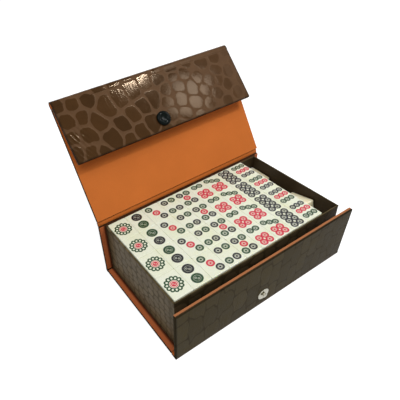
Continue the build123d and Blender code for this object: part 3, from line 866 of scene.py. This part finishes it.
def tray_points():
    """The wrap: the tray's outline, a rectangle with its corners rounded, moved in along
    its own way by the profile's first number, at the height of its second, and pressed
    with the scales on the outside, which fade out towards the rim."""
    foot = np.linspace(TRAY_FOOT, TRAY_RIM - 0.35, WRAP_ROWS)
    outside = np.stack([np.zeros(WRAP_ROWS), foot], 1)
    rim = [(0.03, -0.18), (0.12, -0.05), (0.3, 0.0), (1.0, 0.0), (1.2, -0.05), (1.3, -0.2), (1.3, -0.3)]
    rim = np.array(rim) + (0.0, TRAY_RIM)
    back = np.array([(WRAP, z) for z in (TRAY_RIM - 0.3, TRAY_RIM - 8.0, TRAY_FOOT + 8.0, TRAY_FOOT)])
    profile = np.concatenate([outside, rim, back])
    turn = np.radians(np.linspace(0, 90, 5))
    corner_x, corner_y = TRAY_X - TRAY_CORNER, TRAY_Y - TRAY_CORNER
    corners = [(corner_x, -corner_y), (corner_x, corner_y), (-corner_x, corner_y), (-corner_x, -corner_y)]
    centres, ways = [], []
    for i, corner in enumerate(corners):
        angle = turn + math.radians(90 * i - 90)
        centres.append(np.repeat([corner], len(turn), 0))
        ways.append(np.stack([np.cos(angle), np.sin(angle)], 1))
        wall = np.subtract(corners[(i + 1) % 4], corner)
        at = np.linspace(0, 1, round(np.hypot(*wall) / WRAP_STEP) + 1)[1:-1, None]
        centres.append(corner + at * wall)
        ways.append(np.repeat(ways[-1][-1:], len(at), 0))
    centre, way = np.concatenate(centres), np.concatenate(ways)
    outline = centre + way * TRAY_CORNER
    run = np.concatenate([[0], np.cumsum(np.hypot(*np.diff(outline, axis=0).T))])
    across = np.repeat(np.interp(run, WALL_RUNS, PAPER_X)[None], len(profile), 0)
    along = np.repeat(profile[:, 1] * PAPER_SCALE + PAPER_S, len(run))
    depth, inside, tone = relief(across.ravel(), along)
    below_rim = step_up(TRAY_RIM - profile[:, 1:], 0.4, 2.0)
    depth = depth.reshape(across.shape) * (profile[:, :1] < 0.01) * below_rim
    moved = profile[:, :1] + PAPER_PRESSED * depth
    x = outline[:, 0] - way[:, 0] * moved
    y = outline[:, 1] - way[:, 1] * moved
    z = np.repeat(profile[:, 1:], len(run), 1)
    index = np.arange(x.size).reshape(x.shape)
    faces = loop_faces([*index, index[0]])[:, ::-1]
    return np.stack([x, y, z], -1).reshape(-1, 3), faces, inside, tone


# The paper is painted darker, as shade, at the foot of its walls, by the back on the side walls, on the
# front wall and on the right rim.
points, faces, inside, tone = tray_points()
from_back = np.where(np.abs(points[:, 0]) > TRAY_X - 0.4, TRAY_Y - points[:, 1], 99.0)
creases = 0.8 + np.minimum(from_back / 9.0, (points[:, 2] - TRAY_FOOT) / 7.0)
border = np.where(points[:, 1] < 0.4 - TRAY_Y, 0.6, np.minimum(creases, 3.0))
shaded_right_rim = (points[:, 0] > TRAY_X - TRAY_WALL - 0.2) & (points[:, 2] > TRAY_RIM - 0.5)
border = np.where(shaded_right_rim, 0.9, border)
fields = {"inside": inside, "tone": tone, "border": border}
wrap = mesh_piece("tray_croc_wrap", points, faces, [], croc_paper, fields)
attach(wrap, "case_base")
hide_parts("tray_wrap")
dark = grained("dark_paper", "#2e200b", 900.0, 0.1, 0.3)
finish_nodes(dark, "tray_lining")

# The tiles: cream melamine, moulded with round edges, their faces engraved and the
# engraving filled with paint. The top layer is the circle suit, the next the bamboos.
TILE = (15.96, 22.96, 12.2)
TILE_EDGE = 0.5
TILE_TOP = 53.9
LAYER_PITCH = 12.25
FIRST_TILE = (-72.5, 34.5)
TILE_STEP = (16.0, 23.0)
CIRCLE_DEPTH = 0.16
RIDGE = 0.1
MARK_DEPTH = 0.14
EYE_OFF = 0.18
WHEEL_CORE = 0.46
PETALS = 12
PETAL_MIDDLE = 0.77
PETAL_LONG = 0.16
PETAL_WIDE = 0.135
RED, GREEN, NAVY = linear("#c81c3c"), linear("#19401f"), linear("#14151b")
CREAM = linear("#dfe2cf")


def engraved(rank, row):
    """The circles of one face: x, y, radius and paint of each. Some of the four tiles
    lie the other way round, which swaps their paints."""
    n, g, r = NAVY, GREEN, RED
    pair = (n, g) if row in (0, 3) else (g, n)
    three = (g, r, n) if row in (0, 3) else (n, r, g)
    rows = (g, r, n) if row < 2 else (n, r, g)
    reds = [(x, y, 3.1, r) for x in (-2.85, 2.85) for y in (-2.55, -7.65)]
    if rank == 1:
        return [(0.0, 0.0, 6.7, g)]
    if rank == 2:
        return [(0.0, 5.3, 4.45, pair[0]), (0.0, -5.2, 4.45, pair[1])]
    if rank == 3:
        return [(-3.3, 6.7, 3.25, three[0]), (0.1, 0.0, 3.25, three[1]), (3.5, -6.6, 3.25, three[2])]
    if rank in (4, 5):
        four = [(-3.6, 6.1, 3.2, n), (3.6, 6.1, 3.2, g), (-3.6, -6.1, 3.2, g), (3.6, -6.1, 3.2, n)]
        return four + [(0.1, 0.1, 3.15, r)] * (rank == 5)
    if rank == 6:
        return [(-2.7, 7.2, 2.85, g), (2.7, 7.0, 2.85, g)] + reds
    if rank == 7:
        return [(-4.4, 7.6, 2.7, g), (0.0, 5.5, 2.7, g), (4.3, 3.4, 2.7, g)] + reds
    if rank == 8:
        return [(x, y, 3.05, n) for x in (-2.9, 2.9) for y in (7.8, 2.6, -2.6, -7.8)]
    return [(x, y, 2.6, c) for c, y in zip(rows, (6.8, 0.4, -6.4)) for x in (-4.4, 0.1, 4.6)]


def block_form(step):
    """One tile: a grid for its face, carried round the edge by quarter circles of
    TILE_EDGE, e sin t out and e (1 - cos t) down, down the sides and round to a flat
    underside."""
    hx, hy = TILE[0] / 2 - TILE_EDGE, TILE[1] / 2 - TILE_EDGE
    x, y, quads, loop = plan_grid(-hx, hx, -hy, hy, step, 0.0)
    dx = np.where(np.isclose(np.abs(x[loop]), hx), np.sign(x[loop]), 0.0)
    dy = np.where(np.isclose(np.abs(y[loop]), hy), np.sign(y[loop]), 0.0)
    long = np.hypot(dx, dy)
    quarter = np.radians(np.linspace(0, 90, 6))[1:]
    profile = [(math.sin(t) * TILE_EDGE, (1 - math.cos(t)) * TILE_EDGE) for t in quarter]
    profile += [(math.cos(t) * TILE_EDGE, TILE[2] - (1 - math.sin(t)) * TILE_EDGE) for t in [0.0, *quarter]]
    return carried_round(x, y, quads, loop, dx / long, dy / long, profile)


def face_fields(x, y, down, circles, wheel):
    """For each point: the distance to the nearest circle's middle in that circle's radii,
    the same for the two small eyes inside a large circle or the one eye of a small one,
    the distance to the nearest of the wheel's petals, whose border is at 1, and the
    paint. Polar angles are folded into one petal's share of the circle."""
    away = np.stack([np.hypot(x - cx, y - cy) / r for cx, cy, r, _ in circles])
    nearest = np.argmin(away, axis=0)
    middles = np.array([c[:3] for c in circles])[nearest]
    ring = np.where(down > 1.0, 3.0, away.min(0))
    core = WHEEL_CORE if wheel else 1.0
    ox = (x - middles[:, 0]) / middles[:, 2] / core
    oy = (y - middles[:, 1]) / middles[:, 2] / core
    pair = np.minimum(np.hypot(ox - EYE_OFF, oy + EYE_OFF), np.hypot(ox + EYE_OFF, oy - EYE_OFF))
    eye = np.where(middles[:, 2] > 4, pair, 0.38 * np.hypot(ox, oy))
    paint = np.array([c[3] for c in circles])[nearest]
    petal = np.full(len(x), 9.0)
    if wheel:
        angle = (np.arctan2(oy, ox) + math.tau) % (math.tau / PETALS) - math.tau / PETALS / 2
        radius = away.min(0)
        outwards = (radius * np.cos(angle) - PETAL_MIDDLE) / PETAL_LONG
        petal = np.hypot(outwards, radius * np.sin(angle) / PETAL_WIDE)
        paint = np.where((radius < 0.5)[:, None], RED, paint)
    return ring, eye, petal, paint


def bamboo_marks(rank):
    """The painted marks of one bamboo face: x, y, half width, half length, degrees,
    roundness and paint of each. The one of bamboos is a bird, the others are sticks."""
    g, r = GREEN, RED
    if rank == 1:
        feathers = ((-2.9, -24, g), (-1.5, -12, r), (0.0, 0, g))
        bird = [(x, -6.6, 0.6, 3.2, turn, 2, c) for x, turn, c in feathers]
        bird += [(0.3, -0.6, 2.5, 4.0, -14, 2, g), (1.2, -0.4, 1.0, 2.6, -20, 2, r)]
        bird += [(1.7, 5.0, 1.6, 1.6, 0, 2, r), (3.9, 5.1, 1.1, 0.4, 0, 2, g)]
        return bird
    long, short = 3.6, 2.5
    two, three, columns = (-3.6, 3.6), (7.0, 0.0, -7.0), (-4.4, 0.0, 4.4)
    up_down = (4.8, -4.8)
    layout = {
        2: [(0, y, long, 0, g) for y in up_down],
        3: [(0, 4.8, long, 0, g)] + [(x, -4.8, long, 0, g) for x in two],
        4: [(x, y, long, 0, g) for x in two for y in up_down],
        5: [(x, y, long, 0, g) for x in (-4.4, 4.4) for y in up_down] + [(0, 0, long, 0, r)],
        6: [(x, y, long, 0, g) for x in columns for y in up_down],
        7: [(0, 7.0, short, 0, r)] + [(x, y, short, 0, g) for x in columns for y in (0.2, -6.6)],
        8: [(x, y, long, 0, g) for x in (-5.4, 5.4) for y in (5.2, -5.2)]
        + [(1.9 * i, 5.2 * j, long, 28 * i * j, g) for i in (-1, 1) for j in (-1, 1)],
        9: [(x, y, short, 0, r if x == 0 else g) for x in columns for y in three],
    }
    return [(x, y, 1.15, half, turn, 4, c) for x, y, half, turn, c in layout[rank]]


def circle_face(rank, row, x, y, down):
    """The fields of an engraved circle face, and how deep it is cut: by a smooth step at
    each circle's border, with a ridge exp(-((ring - 0.66) / 0.09)^2) left in it."""
    ring, eye, petal, paint = face_fields(x, y, down, engraved(rank, row), rank == 1)
    if rank == 1:
        rim = (ring < 1.1) * step_up(1.05 - ring, 0.0, 0.1)
        return (ring, eye, petal, paint), MARK_DEPTH * step_up(petal, 0.75, 1.05) * rim
    ridge = RIDGE * np.exp(-(((ring - 0.66) / 0.09) ** 2))
    return (ring, eye, petal, paint), CIRCLE_DEPTH * (1 - step_up(ring, 0.9, 1.02)) - ridge


def bamboo_face(rank, row, x, y, down):
    """The same for a bamboo face. A mark's field is (|a/w|^p + |b/l|^p)^(1/p), which is
    1 on its border, with a and b across and along the mark. Sticks have a waist."""
    ring, paint = np.full(len(x), 3.0), np.zeros((len(x), 4))
    for cx, cy, half_width, half_length, turn, power, colour in bamboo_marks(rank):
        c, s = math.cos(math.radians(turn)), math.sin(math.radians(turn))
        a = (x - cx) * c + (y - cy) * s
        b = (y - cy) * c - (x - cx) * s
        waist = half_width * (1 - 0.2 * np.cos(math.pi * b / half_length) * (power > 2))
        field = (np.abs(a / waist) ** power + np.abs(b / half_length) ** power) ** (1 / power)
        paint[field < ring] = colour
        ring = np.minimum(ring, field)
    ring[down > 1.0] = 3.0
    away = np.full(len(x), 9.0)
    return (ring, away, away, paint), MARK_DEPTH * (1 - step_up(ring, 0.85, 1.02))


def suit_tiles(suit, rank, form, top, body, gone):
    """The four tiles of one rank, back to front: the block's form at each place, with
    its face cut in."""
    x, y, down, quads, last = form
    face = circle_face if suit == "circle" else bamboo_face
    points, faces, caps = [], [], []
    fields = {"ring": [], "eye": [], "petal": [], "paint": []}
    for row in range(4):
        found, sunk = face(rank, row, x, y, down)
        middle_x = FIRST_TILE[0] + TILE_STEP[0] * (rank - 1)
        middle_y = FIRST_TILE[1] - TILE_STEP[1] * row
        points.append(np.stack([x + middle_x, y + middle_y, top - down - sunk], -1))
        faces.append(quads + len(x) * row)
        caps.append(last + len(x) * row)
        for key, values in zip(fields, found):
            fields[key].append(values)
    joined = {key: np.concatenate(values) for key, values in fields.items()}
    material = wheel if (suit, rank) == ("circle", 1) else painted
    points, faces = np.concatenate(points), np.concatenate(faces)
    piece = mesh_piece(f"{suit}_tiles_{rank}", points, faces, caps, material, joined)
    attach(piece, body)
    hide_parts(gone)


melamine, given, result = node_group(
    "melamine",
    {"Colour": "Color"},
    {"Colour": "Color", "Roughness": "Float", "Height": "Float"},
)
place = node(melamine, "TexCoord").outputs["Object"]
cloud = noise(melamine, place, 70.0, 3.0)
fine = noise(melamine, place, 1400.0, 2.0)
WARMER = (0.97, 0.975, 0.88)
warm = node(melamine, "VectorMath", {0: given["Colour"], 1: WARMER}, operation="MULTIPLY").outputs[0]
clouded = blend_colours(melamine, ramp(melamine, cloud, 0.42, 0.72), given["Colour"], warm)
melamine.links.new(clouded, result["Colour"])
melamine.links.new(ramp(melamine, fine, 0.3, 0.7, 0.24, 0.34), result["Roughness"])
melamine.links.new(fine, result["Height"])


def band(tree, value, rise, fall, strength=1.0):
    """Up from 0 to strength over rise, and down to 0 again over fall."""
    up = ramp(tree, value, *rise)
    return math_node(tree, "MULTIPLY", up, ramp(tree, value, *fall, strength, 0.0))


def inked(tree, disc, line, eyes, under, paint):
    """A disc of paint with a pale line and pale eyes left out of it."""
    shown = math_node(tree, "SUBTRACT", disc, math_node(tree, "MAXIMUM", line, eyes))
    return blend_colours(tree, node(tree, "Clamp", {"Value": shown}).outputs[0], under, paint)


def circle_paint(tree, body, ring, eye, petal, paint):
    """A dark ring, a pale line, a dark disc and pale eyes in each circle."""
    disc = ramp(tree, ring, 0.98, 1.04, 1.0, 0.0)
    line = band(tree, ring, (0.56, 0.59), (0.62, 0.65), 0.5)
    eyes = band(tree, eye, (0.09, 0.12), (0.17, 0.2), 0.68)
    return inked(tree, disc, line, eyes, body, paint)


def wheel_paint(tree, body, ring, eye, petal, paint):
    """The one of circles: a red middle with its pale line and eyes, a pale ring, and
    twelve pale petals edged in green."""
    edging = band(tree, petal, (0.78, 0.9), (1.9, 2.1))
    edging = math_node(tree, "MULTIPLY", edging, ramp(tree, ring, 0.5, 0.53))
    petals = blend_colours(tree, edging, body, GREEN)
    disc = ramp(tree, ring, 0.44, 0.47, 1.0, 0.0)
    line = band(tree, ring, (0.3, 0.32), (0.36, 0.38))
    eyes = band(tree, eye, (0.09, 0.12), (0.17, 0.2), 0.85)
    return inked(tree, disc, line, eyes, petals, RED)


def tile_finish(name, marks=None, cream=CREAM, clear=0.3):
    """Melamine, which light enters a little, with the paint on its engraved face."""
    made, tree, shader = new_finish(name)
    body = use_group(tree, melamine, {"Colour": cream})
    colour = body["Colour"]
    if marks:
        names = {"ring": "Fac", "eye": "Fac", "petal": "Fac", "paint": "Color"}
        read = [node(tree, "Attribute", attribute_name=key).outputs[kind] for key, kind in names.items()]
        colour = marks(tree, colour, *read)
    surface(tree, shader, colour, body["Roughness"], body["Height"], 0.04, 0.0001)
    shader["Subsurface Weight"].default_value = clear
    shader["Subsurface Radius"].default_value = (1.0, 0.9, 0.6)
    shader["Subsurface Scale"].default_value = 0.0012
    return made


plain = tile_finish("tile_melamine")
wheel = tile_finish("tile_wheel", wheel_paint, clear=0.0)
painted = tile_finish("tile_painted", circle_paint)
fine_form = block_form(0.27)
coarse_form = block_form(0.4)
second_top = TILE_TOP - LAYER_PITCH
for rank in range(1, 10):
    suit_tiles("circle", rank, fine_form, TILE_TOP, "top_layer", f"circles_{rank}")
    suit_tiles("bamboo", rank, coarse_form, second_top, "second_layer", "second_layer_tiles")
finish_nodes(plain, "third_layer_tiles", "bottom_layer_tiles")
# The spare tiles are the same melamine, with their cream painted paler than the other tiles' as painted
# light.
finish_nodes(tile_finish("tile_spare_painted_light", cream=linear("#f4ebd0")), "spare_tiles")
